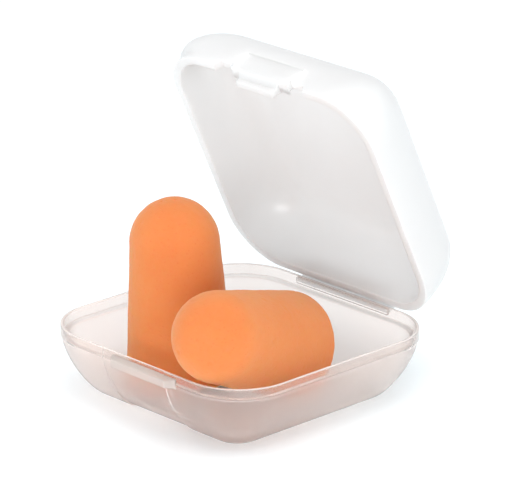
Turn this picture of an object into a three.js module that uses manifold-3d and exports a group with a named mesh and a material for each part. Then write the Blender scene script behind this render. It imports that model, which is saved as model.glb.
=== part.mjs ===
// Foam ear plugs in their small hinged plastic case, open, as an assembly.
// Millimetres, +Z up. The case stands on Z = 0 with the middle of the tray at the origin.
// -Y is the front with the latch, +Y is the back with the hinge.
import * as THREE from 'three';
import { mergeVertices } from 'three/addons/utils/BufferGeometryUtils.js';
import Module from 'manifold-3d';

const wasm = await Module();
wasm.setup();

// ---------------------------------------------------------------- driving dimensions

const CASE_SIDE = 40;
const HALF = CASE_SIDE / 2;
const ROUND_STEPS = 40;             // flats around each rounded outline
const WALL_LEVELS = 9;              // rings up each curved wall
const CLEAR = 1;                    // how far a cutting tool reaches past what it cuts
const SAME_POINT = 1e-4;            // vertices closer than this are one

// Tray: a shallow square bowl with an inner ledge and a thin lip round its rim.
const TRAY = {
  cornerR: 8.6,                     // plan radius of the rim's corners
  wall: 1.0,
  stepWall: 1.3,                    // wall just below the ledge that the lid lands on
  lip: 0.45,                        // thickness of the lip around the lid
  stepZ: 8.63,                      // height of that ledge
  topZ: 10.2,
  floorInset: 6.3,                  // how far the walls lean in from rim to floor
  bulge: 1.47,                      // 1 is a straight slope, 2 a quarter ellipse
};
const TRAY_CORE = HALF - TRAY.cornerR;

// Lid: the same kind of bowl, upside down, whose rim drops inside the tray's lip.
const LID = {
  half: 19.25,
  cornerR: 7.85,
  wall: 1.35,                       // thickness at the rim, thinning to that of the roof
  roof: 1.0,
  rimZ: 8.83,                       // underside of its rim when the case is shut
  topZ: 18.9,
  topInset: 6.47,
  bulge: 2.27,
};
const LID_CORE = LID.half - LID.cornerR;
const OPEN_DEG = 64;                // how far the lid stands open at rest

// Living hinge: a short strap between two thin flanges on the back.
const HINGE = {
  y: 20.81,
  z: 9.49,                          // fold line beside the tray
  length: 18,
  strap: 0.5,                       // thickness of the strap
  strapLow: 9.42,
  strapHigh: 10.8,
  flangeEndY: 20.4,
  trayFlange: [8.82, 9.72],         // underside and top
  lidFlange: [10.4, 11.2],
};

// Latch: a springy tab in the lid's front wall, and a ledge on the tray to push against.
const TAB = {
  half: 5.5,                        // half the width of its window
  gap: 0.25,
  rise: 4.0,                        // height of the window above the rim
  shoulder: 0.35,                   // how far the tab's shoulders stay above the rim
  reliefHalf: 7.9,                  // half the width of the notched stretch of rim
  reliefDepth: 1.1,
  tongueHalf: 3.75,
  tongueY: [-18.25, -17.4],
  tongueZ: [7.7, 9.6],
};
const CATCH = { x: [-4.3, 8.3], reach: 1.1, z: [8.4, 9.6] };
// A shallow recess for the thumb in the front wall, from the bottom edge up to the catch.
const THUMB = { half: 6.0, depth: 0.3, z: [-CLEAR, 8.2] };

// Foam plug: a flat end, a slight taper and a round nose.
const PLUG = {
  length: 26.2,
  baseR: 7.5,
  shoulderR: 6.3,
  nose: 6.6,                        // length of the round nose
  noseSteps: 9,
  edge: 0.5,
  sides: 36,
};
// One plug stands on its flat end in the left corner of the tray.
const STANDING = { base: [-6.4, -5.1, 1.8], lean: [-0.035, -0.03] };
// The other lies towards the front with its nose up on the tray's rim.
const LEANING = { base: [7.53, 2.2, 8.6], yawDeg: -76, pitchDeg: 21 };

// ---------------------------------------------------------------- materials

const tint = (hex, roughness) =>
  new THREE.MeshStandardMaterial({ color: hex, roughness, metalness: 0 });

const MATERIALS = {
  tray: tint(0xe4ded9, 0.5),
  catch: tint(0xe9e4e0, 0.5),
  strap: tint(0xe9e4e0, 0.5),
  lid: tint(0xf0f0ee, 0.35),
  tab: tint(0xf0f0ee, 0.35),
  standing: tint(0xf38c58, 0.85),
  leaning: tint(0xf38c58, 0.85),
};

// ---------------------------------------------------------------- solids

function toManifold(geometry) {
  const plain = geometry.clone();
  plain.deleteAttribute('normal');
  plain.deleteAttribute('uv');
  const merged = mergeVertices(plain, SAME_POINT);
  return new wasm.Manifold(new wasm.Mesh({
    numProp: 3,
    vertProperties: new Float32Array(merged.attributes.position.array),
    triVerts: new Uint32Array(merged.index.array),
  }));
}

function toGeometry(manifold) {
  const mesh = manifold.getMesh();
  const geometry = new THREE.BufferGeometry();
  geometry.setAttribute('position', new THREE.BufferAttribute(mesh.vertProperties, 3));
  geometry.setIndex(new THREE.BufferAttribute(mesh.triVerts, 1));
  const flat = geometry.toNonIndexed();
  flat.computeVertexNormals();
  return flat;
}

// A box from its limits along x, y and z.
function box(x, y, z) {
  const geometry = new THREE.BoxGeometry(x[1] - x[0], y[1] - y[0], z[1] - z[0]);
  geometry.translate((x[0] + x[1]) / 2, (y[0] + y[1]) / 2, (z[0] + z[1]) / 2);
  return toManifold(geometry);
}

// A turned shape whose four quarters are pulled apart, so its plan is a rounded square.
// The profile is a list of [radius of the corner, height], starting and ending on the axis.
function squareTurned(profile, core) {
  const points = profile.map(([r, z]) => new THREE.Vector2(r, z));
  const halfStep = Math.PI / ROUND_STEPS;
  const geometry = new THREE.LatheGeometry(points, ROUND_STEPS, halfStep);
  geometry.rotateX(Math.PI / 2);
  const position = geometry.attributes.position;
  for (let i = 0; i < position.count; i += 1) {
    const x = position.getX(i);
    const y = position.getY(i);
    if (Math.hypot(x, y) > SAME_POINT) {
      position.setXY(i, x + Math.sign(x) * core, y + Math.sign(y) * core);
    }
  }
  return toManifold(geometry);
}

// Distance in from the rim, at a fraction of the way from the rim to the closed end.
function wallInset(fraction, inset, bulge) {
  const phi = Math.asin(Math.min(1, fraction) ** (bulge / 2));
  return inset * (1 - Math.cos(phi) ** (2 / bulge));
}

// Heights between two levels, closer together towards the second.
function levels(from, to, count) {
  const list = [];
  for (let i = 0; i <= count; i += 1) {
    const t = Math.sin((Math.PI / 2) * (i / count));
    list.push(from + (to - from) * t);
  }
  return list;
}

function trayOuterRadius(z, shrink = 0) {
  const fraction = (TRAY.stepZ - z) / TRAY.stepZ;
  return TRAY.cornerR - shrink - wallInset(fraction, TRAY.floorInset, TRAY.bulge);
}

function trayInnerRadius(z) {
  const depth = TRAY.stepZ - TRAY.wall;
  const fraction = (TRAY.stepZ - z) / depth;
  const inset = wallInset(fraction, TRAY.floorInset + TRAY.wall - TRAY.stepWall, TRAY.bulge);
  return TRAY.cornerR - TRAY.stepWall - inset;
}

function lidOuterRadius(z) {
  const fraction = (z - LID.rimZ) / (LID.topZ - LID.rimZ);
  return LID.cornerR - wallInset(fraction, LID.topInset, LID.bulge);
}

function lidInnerRadius(z) {
  const roof = LID.topZ - LID.roof;
  const fraction = (z - LID.rimZ) / (roof - LID.rimZ);
  const inset = LID.topInset + LID.roof - LID.wall;
  return LID.cornerR - LID.wall - wallInset(fraction, inset, LID.bulge);
}

function traySolid() {
  const outer = levels(TRAY.stepZ, 0, WALL_LEVELS).reverse().map((z) => [trayOuterRadius(z), z]);
  const lip = [
    [TRAY.cornerR, TRAY.topZ],
    [TRAY.cornerR - TRAY.lip, TRAY.topZ],
    [TRAY.cornerR - TRAY.lip, TRAY.stepZ],
  ];
  const inner = levels(TRAY.stepZ, TRAY.wall, WALL_LEVELS).map((z) => [trayInnerRadius(z), z]);
  return squareTurned([[0, 0], ...outer, ...lip, ...inner, [0, TRAY.wall]], TRAY_CORE);
}

function lidSolid() {
  const roof = LID.topZ - LID.roof;
  const inner = levels(LID.rimZ, roof, WALL_LEVELS).reverse().map((z) => [lidInnerRadius(z), z]);
  const outer = levels(LID.rimZ, LID.topZ, WALL_LEVELS).map((z) => [lidOuterRadius(z), z]);
  return squareTurned([[0, roof], ...inner, ...outer, [0, LID.topZ]], LID_CORE);
}

// Everything outside the tray's outer face moved in by a small depth, in front of the thumb.
function thumbRecess() {
  const heights = levels(TRAY.stepZ, 0, WALL_LEVELS).reverse();
  const inset = heights.map((z) => [trayOuterRadius(z, THUMB.depth), z]);
  const inner = squareTurned([[0, 0], ...inset, [0, TRAY.stepZ]], TRAY_CORE);
  return box([-THUMB.half, THUMB.half], [-HALF - CLEAR, -TRAY_CORE], THUMB.z).subtract(inner);
}

function flange(z, innerY) {
  const x = [-HINGE.length / 2, HINGE.length / 2];
  return box(x, [innerY, HINGE.flangeEndY], z);
}

// ---------------------------------------------------------------- tray body

function makeTray() {
  return traySolid()
    .add(flange(HINGE.trayFlange, HALF - TRAY.lip / 2))
    .subtract(thumbRecess());
}

// A ledge along the front wall with slanting ends, a little to the right of the middle.
function makeCatch() {
  const [start, end] = CATCH.x;
  const shape = new THREE.Shape();
  shape.moveTo(start, -HALF);
  shape.lineTo(start + CATCH.reach, -HALF - CATCH.reach);
  shape.lineTo(end - CATCH.reach, -HALF - CATCH.reach);
  shape.lineTo(end, -HALF);
  shape.closePath();
  const geometry = new THREE.ExtrudeGeometry(shape, {
    depth: CATCH.z[1] - CATCH.z[0],
    bevelEnabled: false,
  });
  geometry.translate(0, 0, CATCH.z[0]);
  return toManifold(geometry);
}

// ---------------------------------------------------------------- lid body, drawn shut

function tabWindow(gap, bottom) {
  const reach = TAB.half - gap;
  return box([-reach, reach], [-HALF, -LID_CORE], [bottom, LID.rimZ + TAB.rise - gap]);
}

function makeLid() {
  const relief = box(
    [-TAB.reliefHalf, TAB.reliefHalf],
    [-HALF, -LID_CORE],
    [LID.rimZ - CLEAR, LID.rimZ + TAB.reliefDepth],
  );
  return lidSolid()
    .subtract(tabWindow(0, LID.rimZ - CLEAR))
    .subtract(relief)
    .add(flange(HINGE.lidFlange, LID.half - LID.wall / 2));
}

function makeTab() {
  const tongue = box([-TAB.tongueHalf, TAB.tongueHalf], TAB.tongueY, TAB.tongueZ);
  return lidSolid().intersect(tabWindow(TAB.gap, LID.rimZ + TAB.shoulder)).add(tongue);
}

function makeStrap() {
  const x = [-HINGE.length / 2, HINGE.length / 2];
  const y = [HINGE.y - HINGE.strap / 2, HINGE.y + HINGE.strap / 2];
  return box(x, y, [HINGE.strapLow, HINGE.strapHigh]);
}

// ---------------------------------------------------------------- foam plugs

function plugGeometry() {
  const shoulder = PLUG.length - PLUG.nose;
  const points = [
    new THREE.Vector2(0, 0),
    new THREE.Vector2(PLUG.baseR - PLUG.edge, 0),
    new THREE.Vector2(PLUG.baseR, PLUG.edge),
  ];
  for (let i = 0; i <= PLUG.noseSteps; i += 1) {
    const angle = (Math.PI / 2) * (i / PLUG.noseSteps);
    const radius = i === PLUG.noseSteps ? 0 : PLUG.shoulderR * Math.cos(angle);
    points.push(new THREE.Vector2(radius, shoulder + PLUG.nose * Math.sin(angle)));
  }
  const geometry = new THREE.LatheGeometry(points, PLUG.sides);
  geometry.rotateX(Math.PI / 2);
  return geometry;
}

// ---------------------------------------------------------------- assembly

function named(name, geometry, material) {
  const mesh = new THREE.Mesh(geometry, material);
  mesh.name = name;
  return mesh;
}

function solid(name, manifold, material) {
  return named(name, toGeometry(manifold), material);
}

const part = new THREE.Group();

part.add(solid('tray', makeTray(), MATERIALS.tray));
part.add(solid('catch_ledge', makeCatch(), MATERIALS.catch));

// The lid, its tab and the strap are drawn shut and turned about the fold line to stand open.
const opened = new THREE.Group();
opened.position.set(0, HINGE.y, HINGE.z);
opened.rotation.x = -THREE.MathUtils.degToRad(OPEN_DEG);
const shut = new THREE.Group();
shut.position.set(0, -HINGE.y, -HINGE.z);
shut.add(solid('hinge_strap', makeStrap(), MATERIALS.strap));
shut.add(solid('lid', makeLid(), MATERIALS.lid));
shut.add(solid('latch_tab', makeTab(), MATERIALS.tab));
opened.add(shut);
part.add(opened);

const plug = plugGeometry();
const up = new THREE.Vector3(0, 0, 1);

const standing = named('plug_standing', plug.clone(), MATERIALS.standing);
const standingAxis = new THREE.Vector3(...STANDING.lean, 1).normalize();
standing.quaternion.setFromUnitVectors(up, standingAxis);
standing.position.set(...STANDING.base);
part.add(standing);

const leaning = named('plug_leaning', plug.clone(), MATERIALS.leaning);
const yaw = THREE.MathUtils.degToRad(LEANING.yawDeg);
const pitch = THREE.MathUtils.degToRad(LEANING.pitchDeg);
const leaningAxis = new THREE.Vector3(
  Math.cos(pitch) * Math.cos(yaw),
  Math.cos(pitch) * Math.sin(yaw),
  Math.sin(pitch),
);
leaning.quaternion.setFromUnitVectors(up, leaningAxis);
leaning.position.set(...LEANING.base);
part.add(leaning);

export default part;
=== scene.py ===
"""Two foam ear plugs in their small hinged plastic case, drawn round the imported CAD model."""
import math
from collections import namedtuple

import bmesh
import bpy
from mathutils import Matrix, Vector, noise


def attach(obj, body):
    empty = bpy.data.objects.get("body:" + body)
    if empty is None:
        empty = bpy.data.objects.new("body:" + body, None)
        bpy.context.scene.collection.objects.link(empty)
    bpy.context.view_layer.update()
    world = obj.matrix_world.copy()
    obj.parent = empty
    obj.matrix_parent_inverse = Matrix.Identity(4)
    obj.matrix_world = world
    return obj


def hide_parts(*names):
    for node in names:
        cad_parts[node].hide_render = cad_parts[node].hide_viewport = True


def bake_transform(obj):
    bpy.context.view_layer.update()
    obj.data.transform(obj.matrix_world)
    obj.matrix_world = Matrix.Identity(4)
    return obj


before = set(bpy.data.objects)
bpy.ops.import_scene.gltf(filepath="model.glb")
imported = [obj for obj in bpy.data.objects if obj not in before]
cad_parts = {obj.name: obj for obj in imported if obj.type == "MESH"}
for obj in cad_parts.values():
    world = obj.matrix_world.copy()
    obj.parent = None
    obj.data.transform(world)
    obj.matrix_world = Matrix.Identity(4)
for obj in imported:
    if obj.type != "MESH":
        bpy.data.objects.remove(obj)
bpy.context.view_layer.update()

MM = 0.001
SCENE = bpy.context.scene

# ------------------------------------------------------------------ dimensions, in millimetres
# Tray and lid are rounded squares: a core square pushed out by a radius that changes with height.

TRAY_HALF = 20.0                    # half the tray's width at its rim
TRAY_R = 8.6                        # corner radius at the rim
TRAY_CORE = TRAY_HALF - TRAY_R
STEP_Z = 8.63                       # the step inside, where the lid lands
TOP_Z = 10.2                        # top of the lip
FLOOR = 1.0
LIP = 0.45
STEP_WALL = 1.3                     # wall thickness just below the step
FLOOR_INSET = 6.3                   # how far the wall curves in, down to the floor
TRAY_BULGE = 1.47                   # exponent of the superellipse that the wall follows
BAND_Z = STEP_Z - 0.1               # lower edge of the band round the rim
BAND = 0.12                         # how far the band stands out of the wall
BAND_FADE = 3                       # the wall's set-back under the band fades out below this
TRAY_STOPS = 22                     # grid: parts of a straight side, of a corner, of the height
TRAY_CORNER_STEPS = 20
TRAY_LEVELS = 26

THUMB_HALF = 6.0                    # recess for the thumb in the front wall
THUMB_DEPTH = (0.16, 0.38)          # at the rim, and below it
THUMB_FALL = 1.6                    # height over which it deepens
THUMB_COLUMNS = (0, 0.1, 0.3, -0.2)  # grid: columns at and beside each of its edges

CATCH_X = (-4.3, 8.3)               # ledge over the recess, for the thumb to push against
CATCH_Z = (8.4, 9.6)
CATCH_REACH = 1.1                   # how far it stands out, and the length of a slanting end
CATCH_SHARP = 9                     # how sharply its ends turn into its front

LID_HALF = 19.25
LID_R = 7.85
LID_CORE = LID_HALF - LID_R
RIM_Z = 8.83                        # the lid's rim when shut
LID_TOP = 18.9
LID_WALL = 1.35
LID_ROOF = 1.0
TOP_INSET = 6.47
LID_BULGE = 2.27
LID_STOPS = 24
LID_CORNER_STEPS = 22
LID_LEVELS = 44
SWELL_Z = TOP_Z + 0.1               # where the front corners' swell begins
CORNER_SWELL = 1.15
SWELL_SKEW = 0.58                   # below 1, the swell is widest below its middle
OPEN_DEG = 64.0

FOLD_Y = 20.81                      # fold line of the hinge
FOLD_Z = 9.49
HINGE_HALF = 9.0
FLANGE_END = 20.4
TRAY_FLANGE = (8.82, 9.72)
LID_FLANGE = (10.4, 11.2)

TAB_HALF = 5.5                      # half the width of the tab's window in the lid
TAB_RISE = 4.0                      # height of the window above the rim
TAB_GAP = 0.015                     # hairline round the tab
TAB_SWING = 0.18                    # how far its inner top edge is lowered, so that it can bend in
SHOULDER = 0.35                     # how far the tab's shoulders stay above the rim
RELIEF_HALF = 7.9                   # half the width of the notched stretch of rim
RELIEF_DEPTH = 1.1
RELIEF_SLANT = 0.75
TONGUE_HALF = 3.75
TONGUE_TIP = -1.13                  # how far the tongue reaches past the rim
TONGUE_Y = (-18.3, -17.3)           # its outer and inner faces
TONGUE_TAPER = 0.35

PLUG_LENGTH = 26.2
PLUG_BASE_R = 7.5
PLUG_SHOULDER_R = 6.3
PLUG_NOSE = 6.6                     # length of the round nose
PLUG_EDGE = 0.9                     # rounding round the flat end
PLUG_HOLLOW = 0.12                  # how far the flat end is dished
PLUG_AROUND = 150                   # grid: columns round the plug
SKIN_INSET = 0.06                   # keeps the unevenness of the skin near the plug's true surface
STANDING_BASE = (-6.4, -5.1, 1.8)
STANDING_AXIS = (-0.035, -0.03, 1)
LEANING_BASE = (7.53, 2.2, 8.6)
LEANING_YAW = math.radians(-76)
LEANING_PITCH = math.radians(21)


# ------------------------------------------------------------------ meshes

def new_object(name, verts, faces):
    """A mesh object from points in millimetres, with its faces turned outwards."""
    mesh = bpy.data.meshes.new(name)
    mesh.from_pydata([[c * MM for c in v] for v in verts], [], faces)
    bm = bmesh.new()
    bm.from_mesh(mesh)
    bmesh.ops.recalc_face_normals(bm, faces=bm.faces)
    bm.to_mesh(mesh)
    bm.free()
    mesh.validate()
    obj = bpy.data.objects.new(name, mesh)
    SCENE.collection.objects.link(obj)
    return obj


def loft(name, rings):
    """A closed body through rings of equally many points, capped at both ends."""
    count = len(rings[0])
    last = (len(rings) - 1) * count
    faces = []
    for start in range(0, last, count):
        for i in range(count):
            a, b = start + i, start + (i + 1) % count
            faces.append((a, b, b + count, a + count))
    faces.append(tuple(reversed(range(count))))
    faces.append(tuple(range(last, last + count)))
    return new_object(name, [point for ring in rings for point in ring], faces)


def smooth(mesh):
    for polygon in mesh.polygons:
        polygon.use_smooth = True


def soften(obj, width, segments=2, crisp=None):
    """Rounds the crisp edges a little and shades the piece smooth.

    crisp tells which points, in millimetres, are on edges that stay sharp."""
    sharp_angle = math.radians(35)
    bm = bmesh.new()
    bm.from_mesh(obj.data)
    weight = bm.edges.layers.float.new("bevel_weight_edge")
    for edge in bm.edges:
        bent = edge.calc_face_angle(0.0) >= sharp_angle
        hard = crisp is not None and all(crisp(v.co / MM) for v in edge.verts)
        edge[weight] = 1.0 if bent and not hard else 0.0
        edge.smooth = not (bent and hard)
    bm.to_mesh(obj.data)
    bm.free()
    bevel = obj.modifiers.new("soft edges", "BEVEL")
    bevel.width = width * MM
    bevel.segments = segments
    bevel.limit_method = "WEIGHT"
    bevel.harden_normals = True
    bevel.use_clamp_overlap = True
    smooth(obj.data)


# ------------------------------------------------------------------ rounded squares

Column = namedtuple("Column", "foot out side t")
SIDES = (
    ("front", (0, -1), (1, 0), -90),
    ("right", (1, 0), (0, 1), 0),
    ("back", (0, 1), (-1, 0), 90),
    ("left", (-1, 0), (0, -1), 180),
)


def wall_inset(fraction, inset, bulge):
    """How far a curved wall has come in, at a fraction of its height."""
    phi = math.asin(min(1.0, max(0.0, fraction)) ** (bulge / 2))
    return inset * (1 - math.cos(phi) ** (2 / bulge))


def curved_levels(start, end, count, bulge):
    """Heights between two levels, spaced so that the curved wall between them stays even."""
    return [
        start + (end - start) * math.sin(math.pi / 2 * i / count) ** (2 / bulge)
        for i in range(count + 1)
    ]


def spread(half, count):
    return [-half + 2 * half * i / count for i in range(count + 1)]


def with_hinge(stops):
    """The stops along the back, with columns at the hinge's ends in place of those beside them."""
    beside = 0.4
    apart = [t for t in stops if abs(abs(t) - HINGE_HALF) > beside]
    return apart + [-HINGE_HALF, HINGE_HALF]


def plan(core, stops, corner_steps):
    """Columns round a rounded square, each with its foot on the core square.

    stops maps a side to the places along it that need a column. In a corner, t counts
    the steps round it."""
    columns = []
    for side, out, along, start in SIDES:
        for t in sorted({-core, *stops[side], core}):
            foot = (out[0] * core + along[0] * t, out[1] * core + along[1] * t)
            columns.append(Column(foot, out, side, t))
        corner = (out[0] * core + along[0] * core, out[1] * core + along[1] * core)
        for step in range(1, corner_steps):
            a = math.radians(start + 90 * step / corner_steps)
            columns.append(Column(corner, (math.cos(a), math.sin(a)), "corner", step))
    return columns


def at(column, r, z):
    return (column.foot[0] + r * column.out[0], column.foot[1] + r * column.out[1], z)


def fillet(points, radii, steps=4):
    """A flat polyline whose listed corners are rounded off."""
    out = []
    for i, p in enumerate(points):
        radius = radii.get(i, 0)
        if not radius:
            out.append(p)
            continue
        here = Vector(p)
        before = (Vector(points[i - 1]) - here).normalized()
        after = (Vector(points[i + 1]) - here).normalized()
        half = before.angle(after) / 2
        cut = radius / math.tan(half)
        centre = here + (before + after).normalized() * (radius / math.sin(half))
        first = here + before * cut - centre
        last = here + after * cut - centre
        for k in range(steps + 1):
            t = k / steps
            ray = (first * (1 - t) + last * t).normalized() * radius
            out.append(tuple(centre + ray))
    return out


def pull_flange(obj, heights, wall_y):
    """Pulls a thin flange out of the back wall, between two heights."""
    reach = 0.4
    bm = bmesh.new()
    bm.from_mesh(obj.data)
    chosen = []
    for face in bm.faces:
        c = face.calc_center_median() / MM
        flat_back = face.normal.y > 0.9 and c.y > wall_y - reach
        if flat_back and abs(c.x) < HINGE_HALF and heights[0] < c.z < heights[1]:
            chosen.append(face)
    made = bmesh.ops.extrude_face_region(bm, geom=chosen)
    bmesh.ops.delete(bm, geom=chosen, context="FACES")
    for v in made["geom"]:
        if isinstance(v, bmesh.types.BMVert):
            v.co.y = FLANGE_END * MM
    bmesh.ops.recalc_face_normals(bm, faces=bm.faces)
    bm.to_mesh(obj.data)
    bm.free()


# ------------------------------------------------------------------ tray

def tray_outer(z):
    return TRAY_R - wall_inset((STEP_Z - z) / STEP_Z, FLOOR_INSET, TRAY_BULGE)


def tray_inner(z):
    fraction = (STEP_Z - z) / (STEP_Z - FLOOR)
    inset = wall_inset(fraction, FLOOR_INSET + FLOOR - STEP_WALL, TRAY_BULGE)
    return TRAY_R - STEP_WALL - inset


def tray_rows():
    """(radius, z) up the outside of the wall, over the lip and the step, and down the inside."""
    edge_round, step_round = 0.14, 0.1
    levels = curved_levels(STEP_Z, 0, TRAY_LEVELS, TRAY_BULGE)
    outer = [(tray_outer(z) - BAND * min(1, z / BAND_FADE), z) for z in levels]
    outer = [p for p in outer if p[1] < BAND_Z - 0.12][::-1]
    band = fillet(
        [
            outer[-1],
            (tray_outer(BAND_Z) - BAND, BAND_Z),
            (TRAY_R, BAND_Z + 0.05),
            (TRAY_R, TRAY_FLANGE[0]),
            (TRAY_R, TRAY_FLANGE[1]),
            (TRAY_R, TOP_Z),
            (TRAY_R - LIP, TOP_Z),
            (TRAY_R - LIP, STEP_Z),
            (TRAY_R - STEP_WALL, STEP_Z),
            (tray_inner(STEP_Z - 0.4), STEP_Z - 0.4),
        ],
        {5: edge_round, 6: edge_round, 7: step_round, 8: edge_round},
    )[1:-1]
    inner = [(tray_inner(z), z) for z in curved_levels(STEP_Z, FLOOR, TRAY_LEVELS, TRAY_BULGE)]
    return outer + band + [p for p in inner if p[1] < STEP_Z - 0.3]


def thumb_radius(r, z):
    """The radius of the outside in the thumb recess, which is shallower at the rim than below."""
    if z > STEP_Z:
        return r - THUMB_DEPTH[0]
    fall = min(1, max(0, (BAND_Z - z) / THUMB_FALL))
    depth = THUMB_DEPTH[0] + (THUMB_DEPTH[1] - THUMB_DEPTH[0]) * fall
    return min(r, tray_outer(z) - depth)


def build_tray():
    stops = spread(TRAY_CORE, TRAY_STOPS)
    front = stops + [s * (THUMB_HALF + e) for s in (-1, 1) for e in THUMB_COLUMNS]
    sides = {"front": front, "right": stops, "back": with_hinge(stops), "left": stops}
    columns = plan(TRAY_CORE, sides, TRAY_CORNER_STEPS)
    rows = tray_rows()
    last_outside = max(j for j, (r, z) in enumerate(rows) if r > TRAY_R - 0.15)
    rings = []
    for j, (r, z) in enumerate(rows):
        ring = []
        for column in columns:
            in_recess = column.side == "front" and abs(column.t) <= THUMB_HALF + 1e-6
            carved = in_recess and j <= last_outside
            ring.append(at(column, thumb_radius(r, z) if carved else r, z))
        rings.append(ring)
    obj = loft("tray_shell", rings)
    pull_flange(obj, TRAY_FLANGE, TRAY_HALF)
    soften(obj, 0.06)
    return obj


def build_catch():
    """The ledge that stands out of the front wall over the thumb recess, with slanting ends."""
    low, high = CATCH_Z
    start, end = CATCH_X
    # Points of its cross-section: the share of the reach, and z. Its ends slant over the reach.
    profile = fillet(
        [(0, low - 0.45), (0.55, low - 0.12), (1.0, low + 0.02), (1.0, high - 0.06), (0, high + 0.08)],
        {1: 0.1, 2: 0.1, 3: 0.14},
        3,
    )
    slants = [CATCH_REACH * k / 8 for k in range(9)] + [CATCH_REACH + 0.08, CATCH_REACH + 0.2]
    places = [start + k for k in slants] + [end - k for k in slants]
    places += [start + CATCH_REACH + (end - start - 2 * CATCH_REACH) * k / 16 for k in range(1, 16)]
    rings = []
    for x in sorted(places):
        slant = min(x - start, end - x) + 0.05
        short = math.log(1 + math.exp((CATCH_REACH - slant) * CATCH_SHARP)) / CATCH_SHARP
        depth = max(0.02, CATCH_REACH - short)
        ring = []
        for share, z in profile:
            foot = TRAY_CORE + tray_outer(min(z, STEP_Z)) - 0.3
            ring.append((x, -foot - share * (depth + TRAY_HALF - foot), z))
        rings.append(ring)
    obj = loft("catch_lip", rings)
    soften(obj, 0.05)
    return obj


# ------------------------------------------------------------------ lid and tab, drawn shut

def lid_outer(z):
    return LID_R - wall_inset((z - RIM_Z) / (LID_TOP - RIM_Z), TOP_INSET, LID_BULGE)


def lid_inner(z):
    fraction = (z - RIM_Z) / (LID_TOP - LID_ROOF - RIM_Z)
    return LID_R - LID_WALL - wall_inset(fraction, TOP_INSET + LID_ROOF - LID_WALL, LID_BULGE)


def lid_rows():
    """Matching rows of the lid's outer and inner faces: (outer z, inner z)."""
    straight = [0, 0.2, SHOULDER, 0.7, RELIEF_DEPTH, LID_FLANGE[0] - RIM_Z, 2.0,
                LID_FLANGE[1] - RIM_Z, 2.8, 3.3, TAB_RISE, TAB_RISE + 0.3]
    rows = [(RIM_Z + d, RIM_Z + d) for d in straight]
    roof = LID_TOP - LID_ROOF
    joint = RIM_Z + straight[-1]
    for z in curved_levels(RIM_Z, LID_TOP, LID_LEVELS, LID_BULGE):
        if z > joint + 0.15:
            share = (z - joint) / (LID_TOP - joint)
            rows.append((z, joint + share * (roof - joint)))
    return rows


def shell(name, columns, rows, place, keep, closed):
    """A wall of two matching grids, outer and inner, joined along every open edge.

    keep tells which cells of the grid are there. A closed wall goes all the way round and
    has a roof over its top row."""
    count, top = len(columns), len(rows) - 1
    cells = count if closed else count - 1
    index, verts, faces = {}, [], []

    def vertex(kind, i, j):
        key = (kind, i % count, j)
        if key not in index:
            index[key] = len(verts)
            verts.append(place(kind, columns[i % count], rows[j]))
        return index[key]

    def exists(i, j):
        i = i % count if closed else i
        return 0 <= j < top and 0 <= i < cells and keep(columns[i], columns[(i + 1) % count], j)

    for i in range(cells):
        for j in range(top):
            if not exists(i, j):
                continue
            a, b, c, d = (i, j), (i + 1, j), (i + 1, j + 1), (i, j + 1)
            faces.append(tuple(vertex("outer", *p) for p in (a, b, c, d)))
            faces.append(tuple(vertex("inner", *p) for p in (d, c, b, a)))
            for p, q, neighbour in ((a, b, (i, j - 1)), (b, c, (i + 1, j)),
                                    (c, d, (i, j + 1)), (d, a, (i - 1, j))):
                roofed = closed and neighbour[1] == top
                if not roofed and not exists(*neighbour):
                    faces.append((vertex("outer", *q), vertex("outer", *p),
                                  vertex("inner", *p), vertex("inner", *q)))
    if closed:
        faces.append(tuple(vertex("outer", i, top) for i in range(count)))
        faces.append(tuple(vertex("inner", i, top) for i in reversed(range(count))))
    return new_object(name, verts, faces)


def front_corner_swell(column, z):
    """How far the lid's front corners stand out above the tray's lip, so that they are squarer."""
    rise = (z - SWELL_Z) / (LID_TOP - SWELL_Z)
    if column.side != "corner" or column.foot[1] > 0 or rise <= 0:
        return 0.0
    across = math.sin(math.pi * column.t / LID_CORNER_STEPS) ** 2
    return CORNER_SWELL * across * math.sin(math.pi * rise ** SWELL_SKEW)


def lid_place(kind, column, row):
    z = row[0] if kind == "outer" else row[1]
    r = lid_outer(z) + front_corner_swell(column, z) if kind == "outer" else lid_inner(z)
    x, y, z = at(column, r, z)
    beside_relief = column.side == "front" and abs(abs(column.t) - RELIEF_HALF) < 0.06
    if beside_relief and z < RIM_Z + RELIEF_DEPTH + 0.01:
        share = 1 - (z - RIM_Z) / RELIEF_DEPTH
        x += math.copysign(RELIEF_SLANT * max(0, share), column.t)
    return (x, y, z)


def lid_keep(rows):
    """Tells which cells of the lid's wall are there: not the tab's window or its two notches."""
    def keep(here, there, j):
        if here.side != "front" or there.side != "front":
            return True
        middle = abs(here.t + there.t) / 2
        height = rows[j][0] - RIM_Z
        in_window = middle < TAB_HALF and height < TAB_RISE - 0.01
        in_notch = middle < RELIEF_HALF and height < RELIEF_DEPTH - 0.01
        return not in_window and not in_notch
    return keep


def beside_tab(point):
    """True on the hairline between the tab and the lid's wall round it."""
    return abs(point.x) < TAB_HALF + 0.1 and point.y < 0 and point.z > RIM_Z + SHOULDER + 0.01


def mark_seam(obj):
    """Gives the faces where tab and lid part, inside the hairline, the second material, which glows as
    painted light.
    """
    low, high = RIM_Z + RELIEF_DEPTH - 0.02, RIM_Z + TAB_RISE + 0.02
    for polygon in obj.data.polygons:
        points = [obj.data.vertices[i].co / MM for i in polygon.vertices]
        beside = all(abs(p.x) < TAB_HALF + 0.02 and p.y < 0 and low < p.z < high for p in points)
        if beside and max(abs(polygon.normal.x), polygon.normal.z) > 0.8:
            polygon.material_index = 1


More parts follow.
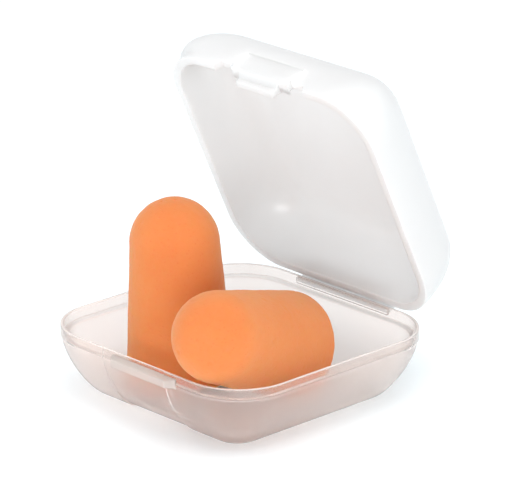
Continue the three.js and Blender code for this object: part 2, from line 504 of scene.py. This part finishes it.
def open_up(obj):
    """Turns a piece drawn on the shut lid about the fold line, to where the lid stands open."""
    fold = Vector((0, FOLD_Y, FOLD_Z)) * MM
    turn = Matrix.Rotation(-math.radians(OPEN_DEG), 4, "X")
    obj.data.transform(Matrix.Translation(fold) @ turn @ Matrix.Translation(-fold))


def build_lid():
    stops = spread(LID_CORE, LID_STOPS)
    near = [TAB_HALF, TAB_HALF + 0.25, RELIEF_HALF, RELIEF_HALF + 1.0]
    apart = [t for t in stops if abs(t) < TAB_HALF - 0.2 or abs(t) > RELIEF_HALF + 1.2]
    front = apart + [s * n for s in (-1, 1) for n in near]
    sides = {"front": front, "right": stops, "back": with_hinge(stops), "left": stops}
    columns = plan(LID_CORE, sides, LID_CORNER_STEPS)
    rows = lid_rows()
    obj = shell("lid_shell", columns, rows, lid_place, lid_keep(rows), True)
    pull_flange(obj, LID_FLANGE, LID_HALF)
    mark_seam(obj)
    soften(obj, 0.13, 3, crisp=beside_tab)
    open_up(obj)
    return obj


def tab_place(kind, column, z):
    """A point of the tab, which thins out and narrows from its shoulders down into the tongue."""
    tongue = (RIM_Z + SHOULDER - z) / (SHOULDER - TONGUE_TIP)
    if kind == "outer":
        x, y, z = at(column, lid_outer(z), z)
        thin = min(1, max(0, (RIM_Z + SHOULDER - z) / (SHOULDER + 0.2)))
        y = y * (1 - thin) + TONGUE_Y[0] * thin
    else:
        x, y, z = at(column, lid_inner(z), z)
        if z > RIM_Z + 3.5:
            z -= TAB_SWING
        thin = min(1, max(0, (RIM_Z + 0.55 - z) / 0.2))
        y = y * (1 - thin) + TONGUE_Y[1] * thin
    if abs(x) > TONGUE_HALF - 0.01:
        x -= math.copysign(TONGUE_TAPER * min(1, max(0, tongue)), x)
    return (x, y, z)


def build_tab():
    edge = TAB_HALF - TAB_GAP
    stops = sorted({*spread(TONGUE_HALF, 8), -edge, edge, -4.6, 4.6, -4.0, 4.0})
    columns = [Column((t, -LID_CORE), (0, -1), "front", t) for t in stops]
    heights = [TONGUE_TIP, -0.7, -0.3, 0, SHOULDER, 0.55, 0.9, 1.4, 2.0, 2.6, 3.2, TAB_RISE - TAB_GAP]
    rows = [RIM_Z + d for d in heights]

    def keep(here, there, j):
        middle = abs(here.t + there.t) / 2
        return middle < TONGUE_HALF or heights[j] > SHOULDER - 0.01

    obj = shell("latch_tongue", columns, rows, tab_place, keep, False)
    mark_seam(obj)
    soften(obj, 0.1, 3, crisp=beside_tab)
    open_up(obj)
    return obj


# ------------------------------------------------------------------ hinge

def opened(y, z):
    """A point of the shut lid in side view, turned about the fold line to where the lid stands."""
    angle = math.radians(OPEN_DEG)
    a, b = y - FOLD_Y, z - FOLD_Z
    return (
        FOLD_Y + a * math.cos(angle) + b * math.sin(angle),
        FOLD_Z - a * math.sin(angle) + b * math.cos(angle),
    )


def build_hinge():
    """The thin web that folds, from the end of the tray's flange to the end of the lid's."""
    # The middle line in side view: the stretch that stays with the tray, then, drawn shut,
    # the stretch that goes with the lid. thick is the web's thickness at each of its points.
    flange_z = sum(TRAY_FLANGE) / 2
    path = [(FLANGE_END - 0.05, flange_z), (FLANGE_END + 0.12, flange_z + 0.02),
            (FOLD_Y - 0.12, FOLD_Z - 0.06)]
    shut = [(FOLD_Y + 0.02, FOLD_Z + 0.02), (FOLD_Y + 0.05, 9.7), (FOLD_Y + 0.05, 10.0),
            (FOLD_Y + 0.05, 10.3), (FOLD_Y + 0.04, 10.5), (FOLD_Y - 0.04, 10.68),
            (FOLD_Y - 0.2, 10.78), (FLANGE_END - 0.05, 10.8)]
    path += [opened(y, z) for y, z in shut]
    thick = [0.5, 0.44, 0.32, 0.26, 0.3, 0.36, 0.4, 0.42, 0.46, 0.5, 0.5]

    def beside(k, side):
        before, here, after = path[max(0, k - 1)], path[k], path[min(len(path) - 1, k + 1)]
        along = (Vector(after) - Vector(before)).normalized()
        off = Vector((-along.y, along.x)) * thick[k] / 2 * side
        return (here[0] + off.x, here[1] + off.y)

    order = range(len(path))
    outline = [beside(k, 1) for k in order] + [beside(k, -1) for k in reversed(order)]
    obj = loft("hinge_web", [[(x, y, z) for y, z in outline] for x in spread(HINGE_HALF - 0.05, 30)])
    smooth(obj.data)
    return obj


# ------------------------------------------------------------------ foam plugs

def plug_profile():
    """(radius, height) from beside the middle of the flat end to just below the tip of the nose."""
    shoulder = PLUG_LENGTH - PLUG_NOSE
    points = [(PLUG_BASE_R * 0.93 * i / 14, PLUG_HOLLOW * (1 - (i / 14) ** 2)) for i in range(1, 14)]
    for k in range(9):
        a = math.pi / 2 * k / 8
        r = PLUG_BASE_R - PLUG_EDGE + PLUG_EDGE * math.sin(a)
        points.append((r, PLUG_EDGE - PLUG_EDGE * math.cos(a)))
    for i in range(1, 60):
        t = i / 60
        z = PLUG_EDGE + (shoulder - PLUG_EDGE) * t
        points.append((PLUG_BASE_R + (PLUG_SHOULDER_R - PLUG_BASE_R) * t ** 1.15, z))
    for i in range(46):
        a = math.pi / 2 * i / 46
        points.append((PLUG_SHOULDER_R * math.cos(a), shoulder + PLUG_NOSE * math.sin(a)))
    return points


def foam_push(p, offset):
    """How far the foam's skin stands out at a point: soft unevenness, grain and a few pits."""
    broad = noise.noise(p * 0.16 + offset)
    lumps = noise.noise(p * 0.75 + offset)
    grain = noise.noise(p * 2.6 + offset)
    pits = max(0.0, noise.noise(p * 1.1 - offset * 2) - 0.42)
    return 0.10 * broad + 0.035 * lumps + 0.02 * grain - 0.35 * pits - SKIN_INSET


def build_plug(name, base, axis, seed):
    profile = plug_profile()
    verts, faces = [(0, 0, PLUG_HOLLOW)], []
    for r, z in profile:
        for i in range(PLUG_AROUND):
            a = 2 * math.pi * i / PLUG_AROUND
            verts.append((r * math.cos(a), r * math.sin(a), z))
    tip = len(verts)
    verts.append((0, 0, PLUG_LENGTH))
    last = tip - PLUG_AROUND
    for i in range(PLUG_AROUND):
        k = (i + 1) % PLUG_AROUND
        for start in range(1, last, PLUG_AROUND):
            a, b = start + i, start + k
            faces.append((a, b, b + PLUG_AROUND, a + PLUG_AROUND))
        faces.append((0, 1 + k, 1 + i))
        faces.append((last + i, last + k, tip))
    mesh = bpy.data.meshes.new(name)
    mesh.from_pydata(verts, [], faces)
    mesh.update()
    offset = Vector((seed * 7.31, seed * 3.17, seed * 5.7))
    upright = Vector((0, 0, 1))
    place = Matrix.Translation(base) @ upright.rotation_difference(axis).to_matrix().to_4x4()
    moved = [place @ (v.co + v.normal * foam_push(v.co, offset)) for v in mesh.vertices]
    for v, p in zip(mesh.vertices, moved):
        v.co = p * MM
    smooth(mesh)
    obj = bpy.data.objects.new(name, mesh)
    SCENE.collection.objects.link(obj)
    return obj


# ------------------------------------------------------------------ materials

class Nodes:
    """A node material being put together round one shader."""

    def __init__(self, name):
        self.material = bpy.data.materials.new(name)
        self.material.use_nodes = True
        self.tree = self.material.node_tree
        self.shader = self.tree.nodes["Principled BSDF"]
        self.place = self.tree.nodes.new("ShaderNodeTexCoord").outputs["Object"]

    def node(self, kind, source, socket, **values):
        """A new node with a source linked to one socket and values set on others."""
        node = self.tree.nodes.new(kind)
        self.tree.links.new(source, node.inputs[socket])
        for key, value in values.items():
            node.inputs[key.replace("_", " ")].default_value = value
        return node

    def axis(self, name):
        return self.node("ShaderNodeSeparateXYZ", self.place, "Vector").outputs[name]

    def noise(self, scale, detail=2, rough=0.5):
        return self.node("ShaderNodeTexNoise", self.place, "Vector",
                         Scale=scale, Detail=detail, Roughness=rough).outputs["Fac"]

    def cells(self, scale):
        return self.node("ShaderNodeTexVoronoi", self.place, "Vector", Scale=scale).outputs["Distance"]

    def span(self, source, low, high, new_low, new_high):
        return self.node("ShaderNodeMapRange", source, "Value", From_Min=low, From_Max=high,
                         To_Min=new_low, To_Max=new_high).outputs["Result"]

    def ramp(self, source, stops):
        node = self.node("ShaderNodeValToRGB", source, "Fac")
        ramp = node.color_ramp
        while len(ramp.elements) < len(stops):
            ramp.elements.new(0.5)
        for element, (position, colour) in zip(ramp.elements, stops):
            element.position = position
            element.color = (*colour, 1)
        return node.outputs["Color"]

    def maths(self, operation, a, b=0.0):
        node = self.tree.nodes.new("ShaderNodeMath")
        node.operation = operation
        for socket, value in zip(node.inputs, (a, b)):
            if isinstance(value, (int, float)):
                socket.default_value = value
            else:
                self.tree.links.new(value, socket)
        return node.outputs["Value"]

    def mix(self, factor, a, b):
        node = self.tree.nodes.new("ShaderNodeMix")
        node.data_type = "RGBA"
        self.tree.links.new(factor, node.inputs["Factor"])
        self.tree.links.new(a, node.inputs[6])
        self.tree.links.new(b, node.inputs[7])
        return node.outputs[2]

    def bump(self, height, strength, distance):
        node = self.node("ShaderNodeBump", height, "Height", Strength=strength, Distance=distance)
        self.link(node.outputs["Normal"], "Normal")

    def link(self, source, socket):
        self.tree.links.new(source, self.shader.inputs[socket])

    def set(self, **values):
        for key, value in values.items():
            self.shader.inputs[key.replace("_", " ")].default_value = value


def foam_material():
    """Matte orange foam with fine pores. Light that goes into it comes out redder."""
    m = Nodes("orange foam")
    broad = m.noise(160, 3)
    fine = m.noise(1300, 4, 0.7)
    pores = m.span(m.cells(1700), 0.05, 0.3, 0.0, 1.0)
    body = m.ramp(broad, [(0.32, (0.675, 0.215, 0.058)), (0.68, (0.695, 0.235, 0.068))])
    dark = m.ramp(fine, [(0.3, (0.66, 0.185, 0.048)), (0.6, (0.70, 0.21, 0.058))])
    m.link(m.mix(pores, dark, body), "Base Color")
    m.link(m.span(fine, 0.3, 0.7, 0.7, 0.9), "Roughness")
    height = m.maths("ADD", m.maths("MULTIPLY", fine, 0.9), m.maths("MULTIPLY", pores, 0.5))
    m.bump(height, 0.5, 0.00012)
    m.set(Subsurface_Weight=0.8, Subsurface_Scale=0.006)
    m.set(Subsurface_Radius=(1.0, 0.22, 0.1))
    m.set(Sheen_Weight=0.1, Sheen_Roughness=0.5, Specular_IOR_Level=0.35)
    return m.material


def moulded(name, colour, deeper, roughness):
    """Polypropylene: slightly uneven colour and gloss, and a faint flow in its surface.

    Gives the nodes and the roughness among them."""
    m = Nodes(name)
    cloud = m.noise(120, 3)
    uneven = 0.02
    gloss = m.span(m.noise(380, 2), 0.3, 0.7, roughness - uneven, roughness + uneven)
    m.link(m.ramp(cloud, [(0.3, deeper), (0.7, colour)]), "Base Color")
    m.link(gloss, "Roughness")
    m.bump(cloud, 0.1, 0.0001)
    return m, gloss


def moulded_material(name, colour, deeper, roughness, **shader):
    """Moulded plastic with uniform values for the rest of its shader."""
    m, _ = moulded(name, colour, deeper, roughness)
    m.set(**shader)
    return m.material


def tray_material():
    """Frosted plastic that is clearer in the thin lip, with painted highlights: whiter lines along its
    moulded edges.
    """
    # The pinkish tint of this colour is partly painted light: orange light bounced from the plugs,
    # painted into the colour.
    m, frost = moulded("frosted plastic", (0.98, 0.903, 0.867), (0.965, 0.888, 0.852), 0.42)
    z = m.axis("Z")
    lip = m.span(z, BAND_Z * MM, (STEP_Z + 0.1) * MM, 0.0, -0.2)
    m.link(m.maths("ADD", frost, lip), "Roughness")
    # Painted highlights: white lines at shares of the tray's height: its foot, the band's lower edge
    # and the lip's top.
    black, white = (0, 0, 0), (1, 1, 1)
    painted_highlight_lines = m.ramp(m.span(z, 0, TOP_Z * MM, 0, 1), [
        (0.0, white), (0.02, black), (0.822, black), (0.834, white),
        (0.845, black), (0.985, black), (0.998, white)])
    # One more painted highlight, up the right-hand edge of the thumb recess only.
    across = m.maths("ABSOLUTE", m.maths("SUBTRACT", m.axis("X"), (THUMB_HALF + 0.2) * MM))
    beside = m.maths("LESS_THAN", across, 0.18 * MM)
    front = m.maths("LESS_THAN", m.axis("Y"), -TRAY_CORE * MM)
    below = m.maths("LESS_THAN", z, STEP_Z * MM)
    recess = m.maths("MULTIPLY", m.maths("MULTIPLY", beside, front), below)
    # Where the painted highlights are, the plastic passes less light and shows whiter.
    edges = m.maths("MAXIMUM", painted_highlight_lines, recess)
    m.link(m.span(edges, 0, 1, 0.9, 0.35), "Transmission Weight")
    m.set(IOR=1.2, Coat_Weight=0.4, Coat_Roughness=0.15)
    return m.material


FOAM = foam_material()
TRAY_PLASTIC = tray_material()
LEDGE_PLASTIC = moulded_material(
    "thick frosted plastic", (0.90, 0.85, 0.81), (0.88, 0.83, 0.79), 0.4,
    Transmission_Weight=0.65, IOR=1.2, Coat_Weight=0.4, Coat_Roughness=0.15)
LID_PLASTIC = moulded_material(
    "milky plastic", (0.705, 0.705, 0.70), (0.695, 0.695, 0.69), 0.3,
    Subsurface_Weight=0.75, Subsurface_Scale=0.006, Subsurface_Radius=(1.0, 1.0, 1.0))
# The faces inside the hairline glow a little: painted light, in place of the light that one moulding
# would pass.
SEAM_GLOW = moulded_material(
    "painted glow in the parting hairline", (0.745, 0.745, 0.74), (0.735, 0.735, 0.73), 0.5,
    Emission_Color=(1.0, 1.0, 0.995, 1), Emission_Strength=0.64)

# ------------------------------------------------------------------ pieces

tray = build_tray()
catch = build_catch()
web = build_hinge()
lid = build_lid()
tab = build_tab()
upright = build_plug("plug_upright", STANDING_BASE, Vector(STANDING_AXIS).normalized(), 1)
leaning_axis = Vector((
    math.cos(LEANING_PITCH) * math.cos(LEANING_YAW),
    math.cos(LEANING_PITCH) * math.sin(LEANING_YAW),
    math.sin(LEANING_PITCH)))
reclined = build_plug("plug_reclined", LEANING_BASE, leaning_axis.normalized(), 2)

for piece, material in (
    (tray, TRAY_PLASTIC), (catch, LEDGE_PLASTIC), (web, LID_PLASTIC), (lid, LID_PLASTIC),
    (tab, LID_PLASTIC), (upright, FOAM), (reclined, FOAM),
):
    piece.data.materials.append(material)
for piece in (lid, tab):
    piece.data.materials.append(SEAM_GLOW)

for piece, node, body, finish in (
    (tray, "tray", "tray", "frosted_plastic"),
    (catch, "catch_ledge", "tray", "frosted_plastic"),
    (lid, "lid", "lid", "milky_plastic"),
    (tab, "latch_tab", "tab", "milky_plastic"),
    (upright, "plug_standing", "standing_plug", "orange_foam"),
    (reclined, "plug_leaning", "leaning_plug", "orange_foam"),
):
    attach(piece, body)
    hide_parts(node)

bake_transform(web)
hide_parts("hinge_strap")

# ------------------------------------------------------------------ floor and light

bpy.ops.mesh.primitive_plane_add(size=6, location=(0, 0, -0.05 * MM))
floor = bpy.context.object
floor.name = "floor"
ground = Nodes("pale floor")
patches = ground.noise(3, 2)
ground.link(
    ground.ramp(patches, [(0.3, (0.885, 0.915, 0.925)), (0.7, (0.895, 0.925, 0.935))]), "Base Color")
ground.set(Roughness=0.9, Specular_IOR_Level=0.1)
ground.set(Emission_Color=(0.8, 0.95, 1.0, 1), Emission_Strength=0.18)
floor.data.materials.append(ground.material)

world = bpy.data.worlds.new("studio")
SCENE.world = world
world.use_nodes = True
world.node_tree.nodes["Background"].inputs["Color"].default_value = (0.96, 0.98, 1.0, 1)
world.node_tree.nodes["Background"].inputs["Strength"].default_value = 0.82


def softbox(name, position, target, size, power):
    """A rectangular area light that faces a target, in metres and watts."""
    data = bpy.data.lights.new(name, "AREA")
    data.shape = "RECTANGLE"
    data.size, data.size_y = size
    data.energy = power
    light = bpy.data.objects.new(name, data)
    light.location = position
    light.rotation_mode = "QUATERNION"
    direction = Vector(target) - Vector(position)
    light.rotation_quaternion = direction.to_track_quat("-Z", "Y")
    SCENE.collection.objects.link(light)


softbox("key light", (0.16, -0.06, 0.6), (0, 0, 0.02), (0.4, 0.4), 1.4)
softbox("front light", (0.5, -0.63, 0.14), (0, 0, 0.03), (0.6, 0.18), 2.9)

# ------------------------------------------------------------------ camera

AZIMUTH, ELEVATION, ROLL = map(math.radians, (45.6, 19.7, 0.62))
DISTANCE = 556.8
TARGET = Vector((0.696, 1.617, 20.78))
back = Vector((math.sin(AZIMUTH) * math.cos(ELEVATION),
               -math.cos(AZIMUTH) * math.cos(ELEVATION), math.sin(ELEVATION)))
right = Vector((math.cos(AZIMUTH), math.sin(AZIMUTH), 0))
up = back.cross(right)
rolled_right = right * math.cos(ROLL) + up * math.sin(ROLL)
rolled_up = up * math.cos(ROLL) - right * math.sin(ROLL)
lens = bpy.data.cameras.new("camera")
lens.lens = 289.7
lens.sensor_width = 36
lens.sensor_fit = "HORIZONTAL"
lens.clip_start, lens.clip_end = 0.01, 20
camera = bpy.data.objects.new("camera", lens)
camera.matrix_world = Matrix.Translation((TARGET + back * DISTANCE) * MM) @ Matrix(
    (rolled_right, rolled_up, back)).transposed().to_4x4()
SCENE.collection.objects.link(camera)
SCENE.camera = camera
SCENE.view_settings.view_transform = "Standard"
